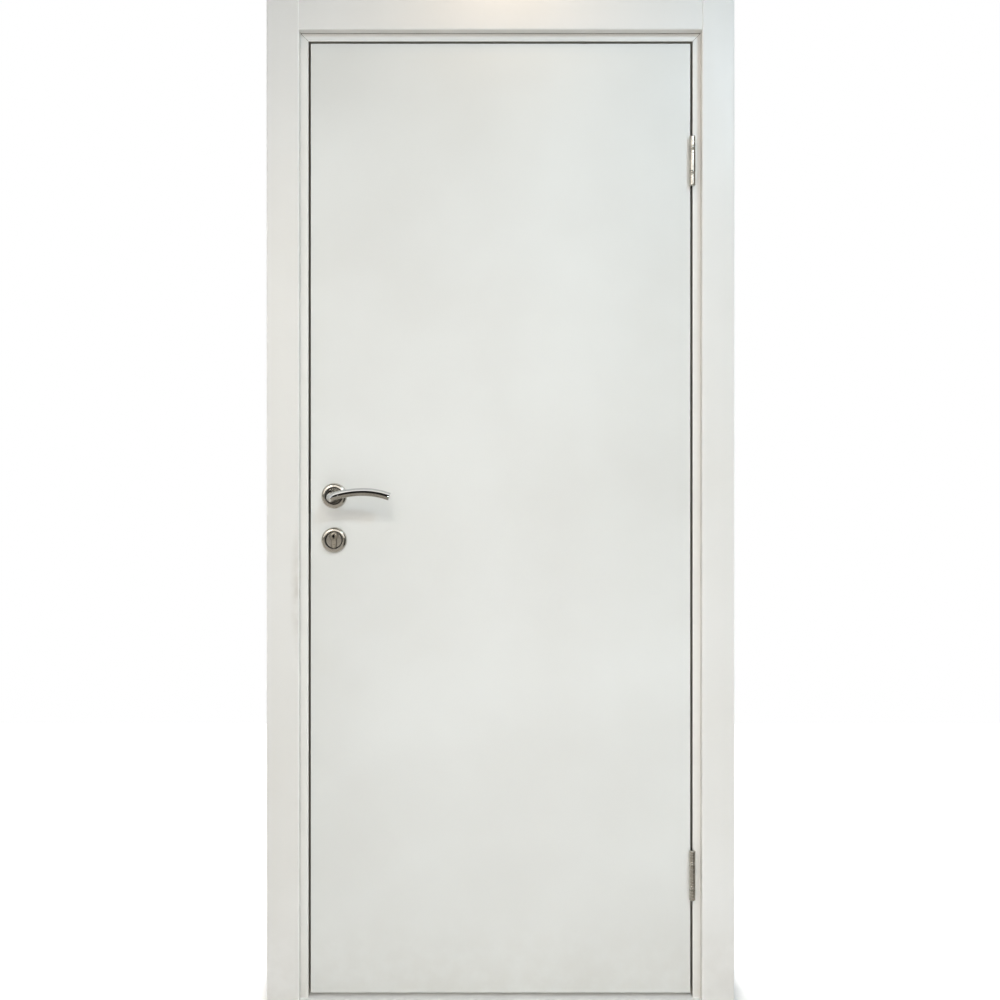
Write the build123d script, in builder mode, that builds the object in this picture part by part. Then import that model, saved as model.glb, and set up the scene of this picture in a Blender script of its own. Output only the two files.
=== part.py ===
# A painted prehung door: one flush leaf on two butt hinges in a mitred timber frame, cased on both sides.
# Millimetres. +X is to the right as the door is seen from the front, +Y goes into the wall, +Z is up.
# The origin is on the wall face of the hinge jamb, at floor level, half way through the frame.

import os
from math import asin, degrees

from build123d import *

# Leaf
leaf_width = 800.0
leaf_height = 2000.0
leaf_thickness = 40.0
skin_thickness = 4.0
stile_width = 110.0
rail_height = 110.0
leaf_arris = 1.5

# Gaps round the leaf
side_gap = 5.0
head_gap = 5.0
floor_gap = 10.0

# Frame
jamb_thickness = 30.0
jamb_arris = 1.2
mitre_ease = 0.6
stop_height = 12.0
stop_depth = 35.0
seal_width = 8.0
seal_space = 5.0
seal_clearance = 0.4

# Casings
casing_width = 68.0
casing_thickness = 18.0
casing_arris = 3.0
jamb_reveal = 16.0

# Butt hinges
hinge_height = 100.0
hinge_inset = 250.0
hinge_plate_width = 30.0
hinge_plate_thickness = 2.5
knuckle_radius = 6.5
knuckle_proud = 0.5
end_knuckle_height = 20.0
bearing_height = 9.0
bearing_lip = 0.2
ring_round = 1.0
pin_radius = 3.5
pin_head_height = 3.0
pin_clearance = 0.1
hinge_play = 0.2
hinge_screw_radius = 2.4
hinge_screw_head_radius = 4.4
hinge_screw_pitch = 24.0
hinge_screw_stagger = 10.0

# Mortise lock, strike and cylinder
handle_height = 1047.0
backset = 50.0
spindle_to_key = 85.0
forend_height = 235.0
forend_width = 20.0
forend_thickness = 3.0
forend_drop = 30.0
lock_case_height = 170.0
lock_case_depth = 76.0
lock_case_thickness = 16.0
lock_case_clearance = 0.2
latch_height = 22.0
latch_width = 12.0
latch_rise = 22.0
dead_bolt_height = 34.0
dead_bolt_width = 10.0
dead_bolt_drop = 55.0
bolt_length = 30.0
bolt_clearance = 0.2
plate_screw_radius = 2.0
plate_screw_head_radius = 3.8
plate_screw_inset = 10.0
strike_height = 160.0
strike_width = 24.0
strike_thickness = 2.0
strike_drop = 30.0
strike_pocket_depth = 16.0
strike_pocket_margin = 2.0
cylinder_radius = 8.5
cylinder_lobe_width = 10.0
cylinder_height = 33.0
cylinder_clearance = 0.3
cylinder_way_clearance = 1.0
cylinder_proud = 1.5
plug_radius = 6.5
plug_length = 22.0
plug_clearance = 0.05
plug_proud = 0.5
keyway_width = 2.4
keyway_height = 9.0
keyway_depth = 18.0

# Levers and roses
rose_radius = 26.8
rose_height = 8.5
rose_lip_radius = 21.0
dish_radius = 18.6
dish_depth = 2.5
dish_lip = 1.2
groove_width = 2.0
groove_depth = 1.2
neck_radius = 10.0
neck_clearance = 0.3
neck_off_leaf = 1.0
flare_radius = 15.6
flare_rim = 1.2
flare_clearance = 0.8
flare_length = 22.0
elbow_depth = 16.0
elbow_dome = 8.0
heel_radius = 12.5
lever_standoff = 60.0
lever_reach = 122.0
grip_heel_arch = 206.0
grip_tip_arch = 154.0
grip_height = 16.0
grip_depth = 13.0
grip_crown_reach = 68.0
grip_crown_rise = 7.7
grip_step = 0.8
grip_facet_fall = 1.6
spindle_size = 8.0
spindle_clearance = 0.1
spindle_bite = 20.0
spindle_hole_clearance = 0.5
spindle_way_radius = 9.0

# Where the faces lie, worked out from the sizes above
frame_depth = leaf_thickness + seal_space + stop_depth
frame_front = -frame_depth / 2
leaf_front = frame_front
leaf_back = leaf_front + leaf_thickness
leaf_middle = leaf_front + leaf_thickness / 2
stop_face = leaf_back + seal_space
hinge_rebate = -jamb_thickness
leaf_right = hinge_rebate - side_gap
leaf_left = leaf_right - leaf_width
strike_rebate = leaf_left - side_gap
strike_wall = strike_rebate - jamb_thickness
frame_width = -strike_wall
leaf_bottom = floor_gap
leaf_top = leaf_bottom + leaf_height
head_rebate = leaf_top + head_gap
head_wall = head_rebate + jamb_thickness
core_thickness = leaf_thickness - 2 * skin_thickness
core_front = leaf_front + skin_thickness
casing_cover = jamb_thickness - jamb_reveal
casing_top = head_wall - casing_cover + casing_width
handle_x = leaf_left + backset
handle_z = leaf_bottom + handle_height
key_z = handle_z - spindle_to_key
key_rose_z = key_z + cylinder_radius - cylinder_height / 2
hinge_x = hinge_rebate - side_gap / 2
hinge_y = leaf_front - knuckle_radius - knuckle_proud
hinge_centres = {"upper": leaf_top - hinge_inset, "lower": leaf_bottom + hinge_inset}

hinge_mitre = Plane(origin=(0, 0, head_wall), x_dir=(0, 1, 0), z_dir=(-1, 0, 1))
strike_mitre = Plane(origin=(strike_wall, 0, head_wall), x_dir=(0, 1, 0), z_dir=(1, 0, 1))
leaf_mid_plane = Plane.XZ.offset(-leaf_middle)

os.makedirs("parts", exist_ok=True)


def keep(piece, name):
    """Label a finished piece and write it out under its own name."""
    piece.part.label = name
    export_step(piece.part, f"parts/{name}.step")


def slab(low, high, mode=Mode.ADD):
    """A rectangular block between two opposite corners."""
    size = [b - a for a, b in zip(low, high)]
    with Locations(low):
        Box(*size, align=(Align.MIN, Align.MIN, Align.MIN), mode=mode)


# Frame: boards, planted stops and seals of one section each, mitred at the two top corners
def upright(outline):
    """A strip with this plan outline, standing from the floor to the top of the frame."""
    with BuildSketch(Plane.XY) as plan:
        with BuildLine():
            outline()
        make_face()
    extrude(plan.sketch, amount=head_wall)


def crosspiece(outline):
    """A strip with this end outline, given as depth and height, lying across the whole frame."""
    with BuildSketch(Plane.YZ.offset(strike_wall)) as end:
        with BuildLine():
            outline()
        make_face()
    extrude(end.sketch, amount=frame_width)


def board_outline(place):
    """The frame board: from the wall face to the rebate face, its front arris eased."""
    corners = [
        (0, frame_front),
        (jamb_thickness - jamb_arris, frame_front),
        (jamb_thickness, frame_front + jamb_arris),
        (jamb_thickness, -frame_front),
        (0, -frame_front),
    ]
    return lambda: Polyline([place(*corner) for corner in corners], close=True)


def stop_outline(place):
    """The planted stop: a strip on the rebate face, behind the leaf."""
    inner = jamb_thickness + stop_height
    corners = [
        (jamb_thickness, stop_face),
        (inner, stop_face),
        (inner, -frame_front),
        (jamb_thickness, -frame_front),
    ]
    return lambda: Polyline([place(*corner) for corner in corners], close=True)


def seal_outline(place):
    """The seal: a half round bead on the face of the stop, just clear of the back of the leaf."""
    middle = jamb_thickness + stop_height / 2
    base_left = place(middle - seal_width / 2, stop_face)
    base_right = place(middle + seal_width / 2, stop_face)
    crest = place(middle, leaf_back + seal_clearance)

    def draw():
        ThreePointArc(base_left, crest, base_right)
        Line(base_right, base_left)

    return draw


def hinge_side(inward, depth):
    return (-inward, depth)


def strike_side(inward, depth):
    return (strike_wall + inward, depth)


def head_side(inward, depth):
    return (depth, head_wall - inward)


with BuildPart() as hinge_jamb:
    upright(board_outline(hinge_side))
    split(bisect_by=hinge_mitre, keep=Keep.BOTTOM)
    front_edges = hinge_jamb.faces().sort_by(Axis.Y)[0].edges()
    chamfer(front_edges.sort_by(Axis.Z)[-1], length=mitre_ease)
    for hinge_z in hinge_centres.values():
        slab(
            (hinge_rebate, leaf_front, hinge_z - hinge_height / 2),
            (
                hinge_rebate + hinge_plate_thickness,
                leaf_front + hinge_plate_width,
                hinge_z + hinge_height / 2,
            ),
            Mode.SUBTRACT,
        )
keep(hinge_jamb, "hinge_jamb")

strike_top = handle_z - strike_drop + strike_height / 2
strike_bottom = strike_top - strike_height
strike_pockets = {
    "latch": (handle_z + latch_rise, latch_height, latch_width),
    "dead_bolt": (handle_z - dead_bolt_drop, dead_bolt_height, dead_bolt_width),
}


def strike_openings(start, depth):
    """The two rectangular ways for the bolts, cut this deep into the frame from a face at start."""
    for centre, height, width in strike_pockets.values():
        half_height = height / 2 + strike_pocket_margin
        half_width = width / 2 + strike_pocket_margin
        slab(
            (start - depth, leaf_middle - half_width, centre - half_height),
            (start, leaf_middle + half_width, centre + half_height),
            Mode.SUBTRACT,
        )


def plate_screw_holes(face, outward, top, bottom, thickness):
    """A countersunk hole near each end of a plate whose open face is at this x."""
    for screw_z in (top - plate_screw_inset, bottom + plate_screw_inset):
        with Locations(Plane(origin=(face, leaf_middle, screw_z), z_dir=(outward, 0, 0))):
            CounterSinkHole(plate_screw_radius, plate_screw_head_radius, thickness)


with BuildPart() as strike_jamb:
    upright(board_outline(strike_side))
    split(bisect_by=strike_mitre, keep=Keep.BOTTOM)
    front_edges = strike_jamb.faces().sort_by(Axis.Y)[0].edges()
    chamfer(front_edges.sort_by(Axis.Z)[-1], length=mitre_ease)
    slab(
        (strike_rebate - strike_thickness, leaf_middle - strike_width / 2, strike_bottom),
        (strike_rebate, leaf_middle + strike_width / 2, strike_top),
        Mode.SUBTRACT,
    )
    strike_openings(strike_rebate - strike_thickness, strike_pocket_depth)
keep(strike_jamb, "strike_jamb")

with BuildPart() as strike_plate:
    slab(
        (strike_rebate - strike_thickness, leaf_middle - strike_width / 2, strike_bottom),
        (strike_rebate, leaf_middle + strike_width / 2, strike_top),
    )
    strike_openings(strike_rebate, strike_thickness)
    plate_screw_holes(strike_rebate, 1, strike_top, strike_bottom, strike_thickness)
keep(strike_plate, "strike_plate")

with BuildPart() as head_jamb:
    crosspiece(board_outline(head_side))
    split(bisect_by=hinge_mitre, keep=Keep.TOP)
    split(bisect_by=strike_mitre, keep=Keep.TOP)
    front_edges = head_jamb.faces().sort_by(Axis.Y)[0].edges().sort_by(Axis.X)
    chamfer([front_edges[0], front_edges[-1]], length=mitre_ease)
keep(head_jamb, "head_jamb")

for outline, ending in ((stop_outline, "stop"), (seal_outline, "seal")):
    with BuildPart() as hinge_strip:
        upright(outline(hinge_side))
        split(bisect_by=hinge_mitre, keep=Keep.BOTTOM)
    keep(hinge_strip, f"hinge_side_{ending}")

    with BuildPart() as strike_strip:
        upright(outline(strike_side))
        split(bisect_by=strike_mitre, keep=Keep.BOTTOM)
    keep(strike_strip, f"strike_side_{ending}")

    with BuildPart() as head_strip:
        crosspiece(outline(head_side))
        split(bisect_by=hinge_mitre, keep=Keep.TOP)
        split(bisect_by=strike_mitre, keep=Keep.TOP)
    keep(head_strip, f"head_{ending}")

# Casings: flat boards with eased arrises, the head butted between the two full-height sides
casing_front = frame_front - casing_thickness
casing_right = casing_width - casing_cover
casing_left = strike_wall + casing_cover - casing_width
side_casing_starts = {"right": casing_right - casing_width, "left": casing_left}
front_casings = {}

for side, start in side_casing_starts.items():
    with BuildPart() as side_casing:
        slab((start, casing_front, 0), (start + casing_width, frame_front, casing_top))
        face_edges = side_casing.faces().sort_by(Axis.Y)[0].edges()
        fillet(face_edges.sort_by(Axis.Z)[1:], radius=casing_arris)
    front_casings[side] = side_casing

with BuildPart() as head_casing:
    slab(
        (casing_left + casing_width, casing_front, casing_top - casing_width),
        (casing_right - casing_width, frame_front, casing_top),
    )
    face_edges = head_casing.faces().sort_by(Axis.Y)[0].edges()
    fillet(face_edges.filter_by(Axis.X), radius=casing_arris)
front_casings["head"] = head_casing

for side, front_casing in front_casings.items():
    with BuildPart() as back_casing:
        mirror(front_casing.part, about=Plane.XZ)
    keep(front_casing, f"front_casing_{side}")
    keep(back_casing, f"back_casing_{side}")


# Leaf: two skins on a timber rim of stiles and rails
def hinge_recesses():
    """Seats for the two hinge plates in the hinge edge of the leaf."""
    for hinge_z in hinge_centres.values():
        slab(
            (leaf_right - hinge_plate_thickness, leaf_front, hinge_z - hinge_height / 2),
            (leaf_right, leaf_front + hinge_plate_width, hinge_z + hinge_height / 2),
            Mode.SUBTRACT,
        )


def cylinder_outline(growth):
    """The lock cylinder's outline, a circle over a narrower round-ended lobe, grown by a clearance."""
    lobe_radius = cylinder_lobe_width / 2 + growth
    foot = cylinder_height - cylinder_radius - cylinder_lobe_width / 2
    with Locations((0, 0)):
        Circle(cylinder_radius + growth)
    with Locations((0, -foot)):
        Circle(lobe_radius)
    with Locations((0, -foot / 2)):
        Rectangle(2 * lobe_radius, foot)


def facing(x, depth, z):
    """A plane looking out of the front of the leaf: its own x is to the right and its own y is up."""
    return Plane(origin=(x, depth, z), x_dir=(1, 0, 0), z_dir=(0, -1, 0))


def lock_ways(back, front, spindle_way, cylinder_way):
    """Ways through the leaf for the spindle and the cylinder, between two depths."""
    with BuildSketch(facing(handle_x, back, handle_z)) as spindle_section:
        Circle(spindle_way)
    extrude(spindle_section.sketch, amount=back - front, mode=Mode.SUBTRACT)
    with BuildSketch(facing(handle_x, back, key_z)) as cylinder_section:
        cylinder_outline(cylinder_way)
    extrude(cylinder_section.sketch, amount=back - front, mode=Mode.SUBTRACT)


with BuildPart() as leaf_front_skin:
    slab((leaf_left, leaf_front, leaf_bottom), (leaf_right, core_front, leaf_top))
    fillet(leaf_front_skin.faces().sort_by(Axis.Y)[0].edges(), radius=leaf_arris)
    hinge_recesses()
    lock_ways(core_front, leaf_front, spindle_way_radius, cylinder_way_clearance)
keep(leaf_front_skin, "leaf_front_skin")

with BuildPart() as leaf_back_skin:
    slab((leaf_left, leaf_back - skin_thickness, leaf_bottom), (leaf_right, leaf_back, leaf_top))
    fillet(leaf_back_skin.faces().sort_by(Axis.Y)[-1].edges(), radius=leaf_arris)
    lock_ways(leaf_back, leaf_back - skin_thickness, spindle_way_radius, cylinder_way_clearance)
keep(leaf_back_skin, "leaf_back_skin")

with BuildPart() as leaf_hinge_stile:
    slab(
        (leaf_right - stile_width, core_front, leaf_bottom),
        (leaf_right, core_front + core_thickness, leaf_top),
    )
    hinge_recesses()
keep(leaf_hinge_stile, "leaf_hinge_stile")

forend_top = handle_z - forend_drop + forend_height / 2
lock_case_top = handle_z - forend_drop + lock_case_height / 2
lock_case_start = leaf_left + forend_thickness
mortise_half = lock_case_thickness / 2 + lock_case_clearance

with BuildPart() as leaf_lock_stile:
    slab(
        (leaf_left, core_front, leaf_bottom),
        (leaf_left + stile_width, core_front + core_thickness, leaf_top),
    )
    slab(
        (leaf_left, leaf_middle - forend_width / 2, forend_top - forend_height),
        (leaf_left + forend_thickness, leaf_middle + forend_width / 2, forend_top),
        Mode.SUBTRACT,
    )
    slab(
        (
            lock_case_start,
            leaf_middle - mortise_half,
            lock_case_top - lock_case_height - lock_case_clearance,
        ),
        (
            lock_case_start + lock_case_depth + lock_case_clearance,
            leaf_middle + mortise_half,
            lock_case_top + lock_case_clearance,
        ),
        Mode.SUBTRACT,
    )
    lock_ways(core_front + core_thickness, core_front, spindle_way_radius, cylinder_way_clearance)
keep(leaf_lock_stile, "leaf_lock_stile")

rail_bottoms = {"top": leaf_top - rail_height, "bottom": leaf_bottom}
for place, rail_bottom in rail_bottoms.items():
    with BuildPart() as leaf_rail:
        slab(
            (leaf_left + stile_width, core_front, rail_bottom),
            (leaf_right - stile_width, core_front + core_thickness, rail_bottom + rail_height),
        )
    keep(leaf_rail, f"leaf_{place}_rail")

# Mortise lock: case, forend and the two bolts, drawn back flush with the forend
bolts = {
    "latch_bolt": (handle_z + latch_rise, latch_height, latch_width),
    "dead_bolt": (handle_z - dead_bolt_drop, dead_bolt_height, dead_bolt_width),
}


def bolt_ways(start, depth):
    """Ways for the two bolts, cut this deep into the leaf from a face at start."""
    for centre, height, width in bolts.values():
        half_height = height / 2 + bolt_clearance
        half_width = width / 2 + bolt_clearance
        slab(
            (start, leaf_middle - half_width, centre - half_height),
            (start + depth, leaf_middle + half_width, centre + half_height),
            Mode.SUBTRACT,
        )


with BuildPart() as lock_case:
    slab(
        (lock_case_start, leaf_middle - lock_case_thickness / 2, lock_case_top - lock_case_height),
        (lock_case_start + lock_case_depth, leaf_middle + lock_case_thickness / 2, lock_case_top),
    )
    bolt_ways(lock_case_start, bolt_length - forend_thickness)
    lock_ways(
        leaf_middle + lock_case_thickness / 2,
        leaf_middle - lock_case_thickness / 2,
        spindle_size * 2**0.5 / 2 + spindle_hole_clearance,
        cylinder_clearance,
    )
keep(lock_case, "lock_case")

with BuildPart() as lock_forend:
    slab(
        (leaf_left, leaf_middle - forend_width / 2, forend_top - forend_height),
        (leaf_left + forend_thickness, leaf_middle + forend_width / 2, forend_top),
    )
    bolt_ways(leaf_left, forend_thickness)
    plate_screw_holes(leaf_left, -1, forend_top, forend_top - forend_height, forend_thickness)
keep(lock_forend, "lock_forend")

for name, (centre, height, width) in bolts.items():
    with BuildPart() as bolt:
        slab(
            (leaf_left, leaf_middle - width / 2, centre - height / 2),
            (leaf_left + bolt_length, leaf_middle + width / 2, centre + height / 2),
        )
    keep(bolt, name)

# Lock cylinder through the leaf, with a plug and its keyway at each end
dish_floor = rose_height - dish_depth
cylinder_front = leaf_front - dish_floor - cylinder_proud
cylinder_back = leaf_back + dish_floor + cylinder_proud

with BuildPart() as key_cylinder:
    with BuildSketch(facing(handle_x, cylinder_back, key_z)):
        cylinder_outline(0)
    extrude(amount=cylinder_back - cylinder_front)
    for face, depth in ((cylinder_front + plug_length, plug_length), (cylinder_back, plug_length)):
        with BuildSketch(facing(handle_x, face, key_z)):
            Circle(plug_radius + plug_clearance)
        extrude(amount=depth, mode=Mode.SUBTRACT)
keep(key_cylinder, "key_cylinder")

with BuildPart() as front_plug:
    with BuildSketch(facing(handle_x, cylinder_front + plug_length, key_z)):
        Circle(plug_radius)
    extrude(amount=plug_length + plug_proud)
    with BuildSketch(facing(handle_x, cylinder_front - plug_proud, key_z)):
        Rectangle(keyway_width, keyway_height)
        with Locations((-keyway_width / 2, 0)):
            Rectangle(keyway_width, keyway_height / 3)
    extrude(amount=-keyway_depth, mode=Mode.SUBTRACT)

with BuildPart() as key_plugs:
    add(front_plug.part)
    mirror(front_plug.part, about=leaf_mid_plane)
keep(key_plugs, "key_plugs")


# Roses: turned discs with a rolled edge and a grooved, dished middle, seated on the faces of the leaf
rose_roll = rose_radius - rose_lip_radius
rose_edge_height = rose_height - rose_roll
groove_floor = dish_floor - groove_depth


def rose_body(z):
    """A turned rose on the front of the leaf, centred at this height on the line of the lock."""
    level = Plane(origin=(handle_x, leaf_front, z), x_dir=(1, 0, 0), z_dir=(0, 0, 1))
    with BuildSketch(level) as section:
        with BuildLine():
            Polyline((0, 0), (rose_radius, 0), (rose_radius, -rose_edge_height))
            CenterArc((rose_lip_radius, -rose_edge_height), rose_roll, 0, -90)
            Polyline(
                (rose_lip_radius, -rose_height),
                (dish_radius + dish_lip, -rose_height),
                (dish_radius, -rose_height + dish_lip),
                (dish_radius, -groove_floor),
                (dish_radius - groove_width, -groove_floor),
                (dish_radius - groove_width, -dish_floor),
                (0, -dish_floor),
                (0, 0),
            )
        make_face()
    revolve(section.sketch, axis=Axis((handle_x, leaf_front, z), (0, 1, 0)))


with BuildPart() as front_lever_rose:
    rose_body(handle_z)
    with BuildSketch(facing(handle_x, leaf_front, handle_z)):
        Circle(neck_radius + neck_clearance)
    extrude(amount=rose_height, mode=Mode.SUBTRACT)

with BuildPart() as front_key_rose:
    rose_body(key_rose_z)
    with BuildSketch(facing(handle_x, leaf_front, key_z)):
        cylinder_outline(cylinder_clearance)
    extrude(amount=rose_height, mode=Mode.SUBTRACT)

for front_rose, name in ((front_lever_rose, "lever_rose"), (front_key_rose, "key_rose")):
    with BuildPart() as back_rose:
        mirror(front_rose.part, about=leaf_mid_plane)
    keep(front_rose, f"front_{name}")
    keep(back_rose, f"back_{name}")

# Levers: a neck that flares at the rose, bent into an arched bar with a round upper face and a flat lower one
grip_front = leaf_front - lever_standoff
grip_crown = (handle_x + grip_crown_reach, grip_front, handle_z + grip_crown_rise)
heel_angle = degrees(asin((grip_crown_reach + heel_radius) / grip_heel_arch))
tip_angle = degrees(asin((lever_reach - grip_crown_reach) / grip_tip_arch))
grip_half = grip_height / 2
grip_back_round = 0.6 * (grip_depth - grip_half)
flare_foot = dish_floor + flare_clearance
flare_top = flare_foot + flare_rim
elbow_start = lever_standoff - elbow_depth

with BuildPart() as lever_neck:
    with BuildSketch(Plane(origin=(handle_x, leaf_front, handle_z), x_dir=(1, 0, 0), z_dir=(0, 0, 1))):
        with BuildLine():
            Polyline(
                (0, -elbow_start - elbow_dome),
                (0, -neck_off_leaf),
                (neck_radius, -neck_off_leaf),
                (neck_radius, -flare_foot),
                (flare_radius, -flare_foot),
                (flare_radius, -flare_top),
            )
            TangentArc(
                (neck_radius, -flare_top - flare_length), (flare_radius, -flare_top), tangent=(0, 1)
            )
            Line((neck_radius, -flare_top - flare_length), (neck_radius, -elbow_start))
            TangentArc((neck_radius, -elbow_start), (0, -elbow_start - elbow_dome), tangent=(0, -1))
        make_face()
    revolve(axis=Axis((handle_x, leaf_front, handle_z), (0, 1, 0)))

# The bar's section is carried along one arch from the crown to the heel and a rounder one to the tip
with BuildPart() as front_lever:
    with BuildSketch(Plane(origin=grip_crown, x_dir=(0, 0, 1), z_dir=(-1, 0, 0))) as grip_section:
        with BuildLine():
            CenterArc((0, grip_half), grip_half, -90, 90)
            Line((grip_half, grip_half), (grip_half, grip_depth - grip_back_round))
            CenterArc(
                (grip_half - grip_back_round, grip_depth - grip_back_round), grip_back_round, 0, 90
            )
            Line((grip_half - grip_back_round, grip_depth), (grip_back_round - grip_half, grip_depth))
            CenterArc(
                (grip_back_round - grip_half, grip_depth - grip_back_round), grip_back_round, 90, 90
            )
            Polyline(
                (-grip_half, grip_depth - grip_back_round),
                (-grip_half, grip_step + grip_facet_fall),
                (0, grip_step),
                (0, 0),
            )
        make_face()
    for arch, turn, angle in ((grip_heel_arch, -1, heel_angle), (grip_tip_arch, 1, tip_angle)):
        arch_centre = (grip_crown[0], grip_crown[1], grip_crown[2] - arch)
        revolve(grip_section.sketch, axis=Axis(arch_centre, (0, turn, 0)), revolution_arc=angle)
    with BuildSketch(facing(handle_x, grip_front + grip_depth, handle_z)) as heel_face:
        with Locations((-heel_radius, 0)):
            Rectangle(2 * heel_radius, 4 * heel_radius)
        Circle(heel_radius, mode=Mode.SUBTRACT)
    extrude(heel_face.sketch, amount=grip_depth, mode=Mode.SUBTRACT)
    with BuildSketch(Plane.XY.offset(handle_z - 2 * heel_radius)) as heel_plan:
        with Locations((handle_x - heel_radius, leaf_front - elbow_start - elbow_depth / 2)):
            Rectangle(2 * heel_radius, elbow_depth)
        with Locations((handle_x, leaf_front - elbow_start)):
            Ellipse(neck_radius, elbow_depth, mode=Mode.SUBTRACT)
    extrude(heel_plan.sketch, amount=4 * heel_radius, mode=Mode.SUBTRACT)
    add(lever_neck.part)
    with BuildSketch(facing(handle_x, leaf_front - neck_off_leaf, handle_z)) as socket:
        Rectangle(spindle_size + 2 * spindle_clearance, spindle_size + 2 * spindle_clearance)
    extrude(socket.sketch, amount=spindle_bite, mode=Mode.SUBTRACT)
keep(front_lever, "front_lever")

with BuildPart() as back_lever:
    mirror(front_lever.part, about=leaf_mid_plane)
keep(back_lever, "back_lever")

spindle_end = neck_off_leaf + spindle_bite
with BuildPart() as lever_spindle:
    slab(
        (handle_x - spindle_size / 2, leaf_front - spindle_end, handle_z - spindle_size / 2),
        (handle_x + spindle_size / 2, leaf_back + spindle_end, handle_z + spindle_size / 2),
    )
keep(lever_spindle, "lever_spindle")

# Hinges: two plates let in flush, with knuckles about a fixed pin and a pair of bearing rings at each joint
mid_knuckle_half = hinge_height / 2 - end_knuckle_height - bearing_height
bearing_radius = knuckle_radius - bearing_lip
ring_height = (bearing_height - hinge_play) / 2


def hinge_plate(face, outward, hinge_z, spans):
    """A countersunk plate whose open face is at this x, with knuckles over these spans of height."""
    back = face - outward * hinge_plate_thickness
    low_x = min(face, back)
    high_x = max(face, back)
    half = hinge_height / 2
    slab((low_x, leaf_front, hinge_z - half), (high_x, leaf_front + hinge_plate_width, hinge_z + half))
    for low, high in spans:
        slab((low_x, hinge_y, hinge_z + low), (high_x, leaf_front, hinge_z + high))
        with Locations((hinge_x, hinge_y, hinge_z + low)):
            Cylinder(knuckle_radius, high - low, align=(Align.CENTER, Align.CENTER, Align.MIN))
    with Locations((hinge_x, hinge_y, hinge_z)):
        Cylinder(pin_radius + pin_clearance, hinge_height, mode=Mode.SUBTRACT)
    for step in (-1.5, -0.5, 0.5, 1.5):
        side = 1 if step in (-1.5, 0.5) else -1
        screw_y = leaf_front + hinge_plate_width / 2 + side * hinge_screw_stagger / 2
        seat = Plane(
            origin=(face, screw_y, hinge_z + step * hinge_screw_pitch), z_dir=(outward, 0, 0)
        )
        with Locations(seat):
            CounterSinkHole(hinge_screw_radius, hinge_screw_head_radius, hinge_plate_thickness)


for place, hinge_z in hinge_centres.items():
    half = hinge_height / 2

    with BuildPart() as frame_leaf:
        end_spans = ((-half, end_knuckle_height - half), (half - end_knuckle_height, half))
        hinge_plate(hinge_rebate, -1, hinge_z, end_spans)
    keep(frame_leaf, f"{place}_hinge_frame_leaf")

    with BuildPart() as door_leaf:
        hinge_plate(leaf_right, 1, hinge_z, ((-mid_knuckle_half, mid_knuckle_half),))
    keep(door_leaf, f"{place}_hinge_door_leaf")

    with BuildPart() as bearings:
        for low in (-mid_knuckle_half - 2 * ring_height, mid_knuckle_half):
            for ring_low in (low, low + ring_height):
                with BuildSketch(Plane.XZ.offset(-hinge_y)) as ring_section:
                    with Locations((hinge_x, hinge_z + ring_low)):
                        Rectangle(bearing_radius, ring_height, align=(Align.MIN, Align.MIN))
                    outer = ring_section.vertices().group_by(Axis.X)[-1]
                    chamfer(outer, length=ring_round)
                revolve(ring_section.sketch, axis=Axis((hinge_x, hinge_y, hinge_z), (0, 0, 1)))
        with Locations((hinge_x, hinge_y, hinge_z)):
            Cylinder(pin_radius + pin_clearance, hinge_height, mode=Mode.SUBTRACT)
    keep(bearings, f"{place}_hinge_bearings")

    with BuildPart() as pin:
        with BuildSketch(facing(hinge_x, hinge_y, hinge_z)):
            with BuildLine():
                TangentArc((0, half + pin_head_height), (knuckle_radius, half), tangent=(1, 0))
                Polyline(
                    (knuckle_radius, half),
                    (pin_radius, half),
                    (pin_radius, -half),
                    (knuckle_radius, -half),
                )
                TangentArc((0, -half - pin_head_height), (knuckle_radius, -half), tangent=(1, 0))
                Line((0, -half - pin_head_height), (0, half + pin_head_height))
            make_face()
        revolve(axis=Axis((hinge_x, hinge_y, hinge_z), (0, 0, 1)))
    keep(pin, f"{place}_hinge_pin")
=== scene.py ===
import bmesh
import bpy
import numpy as np
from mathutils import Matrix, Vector


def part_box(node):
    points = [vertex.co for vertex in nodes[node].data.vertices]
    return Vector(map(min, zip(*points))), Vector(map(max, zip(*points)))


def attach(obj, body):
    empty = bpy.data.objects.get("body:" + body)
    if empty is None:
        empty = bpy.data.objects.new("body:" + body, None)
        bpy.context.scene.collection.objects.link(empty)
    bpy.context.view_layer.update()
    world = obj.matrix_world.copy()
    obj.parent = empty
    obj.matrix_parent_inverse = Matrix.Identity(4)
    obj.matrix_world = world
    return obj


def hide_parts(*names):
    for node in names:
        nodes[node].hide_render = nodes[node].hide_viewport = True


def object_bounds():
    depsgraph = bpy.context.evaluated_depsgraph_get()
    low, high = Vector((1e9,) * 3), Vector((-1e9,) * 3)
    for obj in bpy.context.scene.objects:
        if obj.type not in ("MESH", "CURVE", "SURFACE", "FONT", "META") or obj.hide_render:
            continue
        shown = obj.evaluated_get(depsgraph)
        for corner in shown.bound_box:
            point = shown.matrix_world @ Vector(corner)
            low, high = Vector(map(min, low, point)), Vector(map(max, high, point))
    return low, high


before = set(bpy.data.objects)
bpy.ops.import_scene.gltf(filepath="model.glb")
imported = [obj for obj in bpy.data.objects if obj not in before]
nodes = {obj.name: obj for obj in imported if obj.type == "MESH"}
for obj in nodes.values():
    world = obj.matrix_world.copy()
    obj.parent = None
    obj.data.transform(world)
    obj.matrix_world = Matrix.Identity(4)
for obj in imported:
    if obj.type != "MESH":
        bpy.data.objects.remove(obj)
cad_box = [list(corner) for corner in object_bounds()]

# Frame boards and stops: planed pine, mitred at the top corners, with the stops pinned on behind the leaf.
# All of it is sanded and rolled with satin white paint; faces turned to the wall and to the leaf's edge
# are grey, as primer on the wall side and as painted shade in the gap round the leaf.
MM = 0.001


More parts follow.
